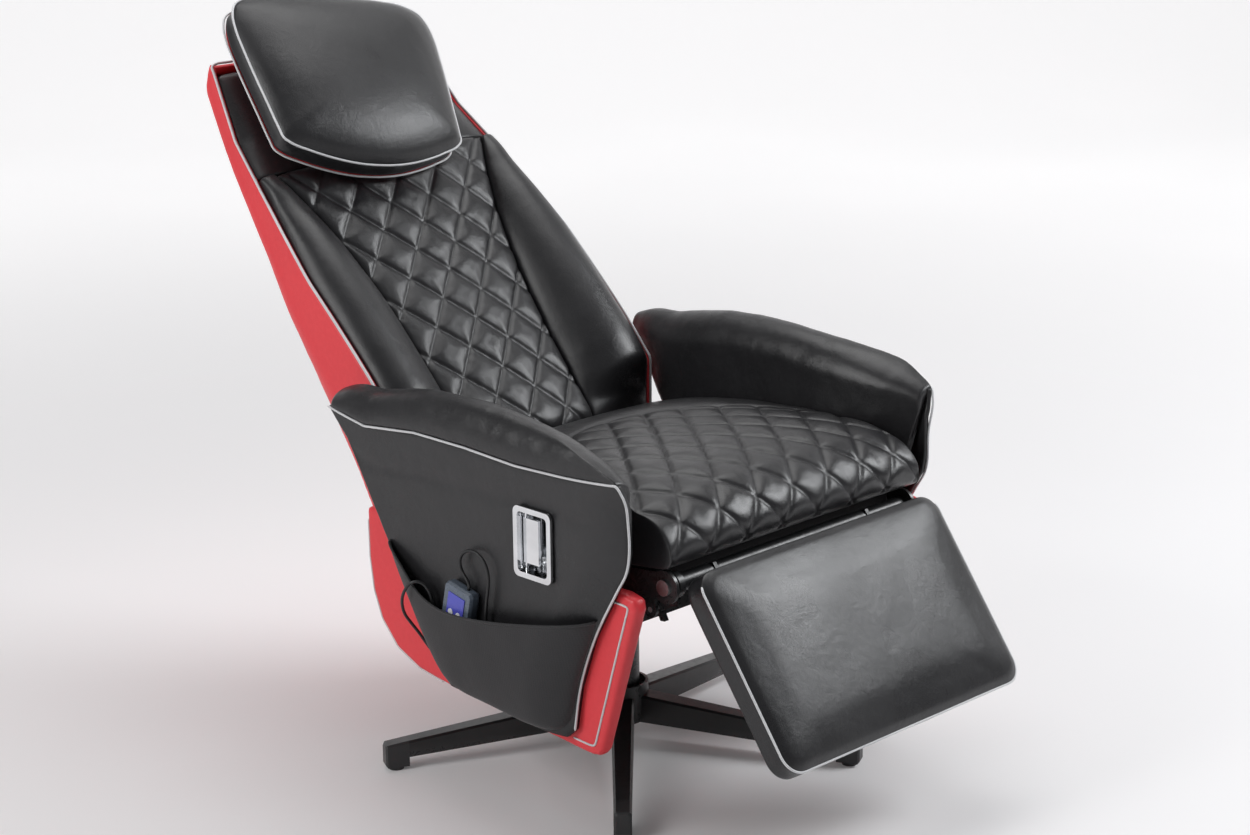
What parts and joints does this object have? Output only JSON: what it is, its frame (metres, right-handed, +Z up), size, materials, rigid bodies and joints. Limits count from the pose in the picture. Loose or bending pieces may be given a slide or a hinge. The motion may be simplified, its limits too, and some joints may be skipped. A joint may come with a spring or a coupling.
{
  "type": "massage recliner",
  "caption": "Swivelling recliner on a star base with a reclining quilted back, padded arms, a swinging footrest, a release handle and a vibration handset in a side pocket.",
  "frame": {"origin": "on the floor under the middle of the chair's box; the swivel axis stands 62 mm ahead of it", "axes": "+Z up, -Y the way the sitter faces, -X the sitter's right-hand side with the release handle and the pocket"},
  "size_m": [0.7048, 1.2072, 1.0321],
  "materials": {
    "black_leather": "satin",
    "red_leather": "satin",
    "white_piping": "satin",
    "pocket_cloth": "matte",
    "black_steel": "satin",
    "black_plastic": "matte",
    "zinc": "satin",
    "chrome": "polished",
    "plywood": "matte",
    "bush_plastic": "matte",
    "motor_plastic": "matte",
    "handset_grey": "satin",
    "keypad_blue": "satin",
    "button_pale": "satin",
    "cord_black": "matte"
  },
  "bodies": {
    "base": {"star_base": "black_steel", "leg_caps": "black_plastic", "glides": "black_plastic", "hub_bushes": "bush_plastic", "thrust_washer": "zinc"},
    "seat": {"column": "black_steel", "column_rings": "black_steel", "swivel_plate": "black_steel", "long_rails": "black_steel", "front_rail": "black_steel", "rear_rail": "black_steel", "rail_bolts": "zinc", "seat_box": "plywood", "seat_platform": "plywood", "side_plate_r": "black_steel", "side_plate_l": "black_steel", "back_pins": "zinc", "foot_pins": "zinc", "plate_bolts": "zinc", "seat_cushion": "black_leather", "seat_motors": "motor_plastic", "side_panel_r": "red_leather", "side_panel_l": "red_leather", "rear_panel": "red_leather", "arm_board_r": "plywood", "arm_board_l": "plywood", "arm_panel_r": "black_leather", "arm_panel_l": "black_leather", "arm_pad_r": "black_leather", "arm_pad_l": "black_leather", "arm_pocket": "pocket_cloth", "handle_housing": "chrome", "paddle_pin": "chrome", "release_cable": "cord_black", "cable_clip": "black_steel", "latch_pin": "zinc", "control_box": "black_plastic", "power_inlet": "black_plastic", "handset_case": "handset_grey", "handset_keypad": "keypad_blue", "handset_cord": "cord_black"},
    "back": {"back_frame": "black_steel", "back_board": "plywood", "back_shell": "red_leather", "quilt_pad": "black_leather", "bolster_r": "black_leather", "bolster_l": "black_leather", "top_pad": "black_leather", "head_pillow": "black_leather", "back_motors": "motor_plastic"},
    "footrest": {"foot_frame": "black_steel", "foot_board": "plywood", "foot_pad": "black_leather", "foot_bolts": "zinc"},
    "paddle": {"paddle": "chrome"},
    "latch": {"latch_lever": "black_steel"},
    "button_1": {"button_1": "button_pale"},
    "button_2": {"button_2": "button_pale"},
    "button_3": {"button_3": "button_pale"},
    "button_4": {"button_4": "button_pale"}
  },
  "joints": [
    {"name": "seat_swivel", "type": "hinge", "parent": "base", "child": "seat", "pos_m": [0, -0.062, 0.2], "axis": [0, 0, 1], "continuous": true},
    {"name": "back_recline", "type": "hinge", "parent": "seat", "child": "back", "pos_m": [0, 0.138, 0.4], "axis": [-1, 0, 0], "range_deg": [-20, 8]},
    {"name": "footrest_swing", "type": "hinge", "parent": "seat", "child": "footrest", "pos_m": [0, -0.384, 0.374], "axis": [-1, 0, 0], "range_deg": [-36, 32]},
    {"name": "paddle_pull", "type": "hinge", "parent": "seat", "child": "paddle", "pos_m": [-0.31, -0.198, 0.414], "axis": [0, 0, -1], "range_deg": [0, 25], "stiffness_Nm_per_rad": 0.4},
    {"name": "latch_release", "type": "hinge", "parent": "seat", "child": "latch", "pos_m": [-0.224, -0.35775, 0.33705], "axis": [1, 0, 0], "range_deg": [0, 8]},
    {"name": "button_1_press", "type": "slide", "parent": "seat", "child": "button_1", "axis": [1, 0, 0], "range_m": [0, 0.0008], "stiffness_N_per_m": 300},
    {"name": "button_2_press", "type": "slide", "parent": "seat", "child": "button_2", "axis": [1, 0, 0], "range_m": [0, 0.0008], "stiffness_N_per_m": 300},
    {"name": "button_3_press", "type": "slide", "parent": "seat", "child": "button_3", "axis": [1, 0, 0], "range_m": [0, 0.0008], "stiffness_N_per_m": 300},
    {"name": "button_4_press", "type": "slide", "parent": "seat", "child": "button_4", "axis": [1, 0, 0], "range_m": [0, 0.0008], "stiffness_N_per_m": 300}
  ],
  "couplings": [
    {"joint": "latch_release", "follows": "paddle_pull", "ratio": 0.25}
  ]
}
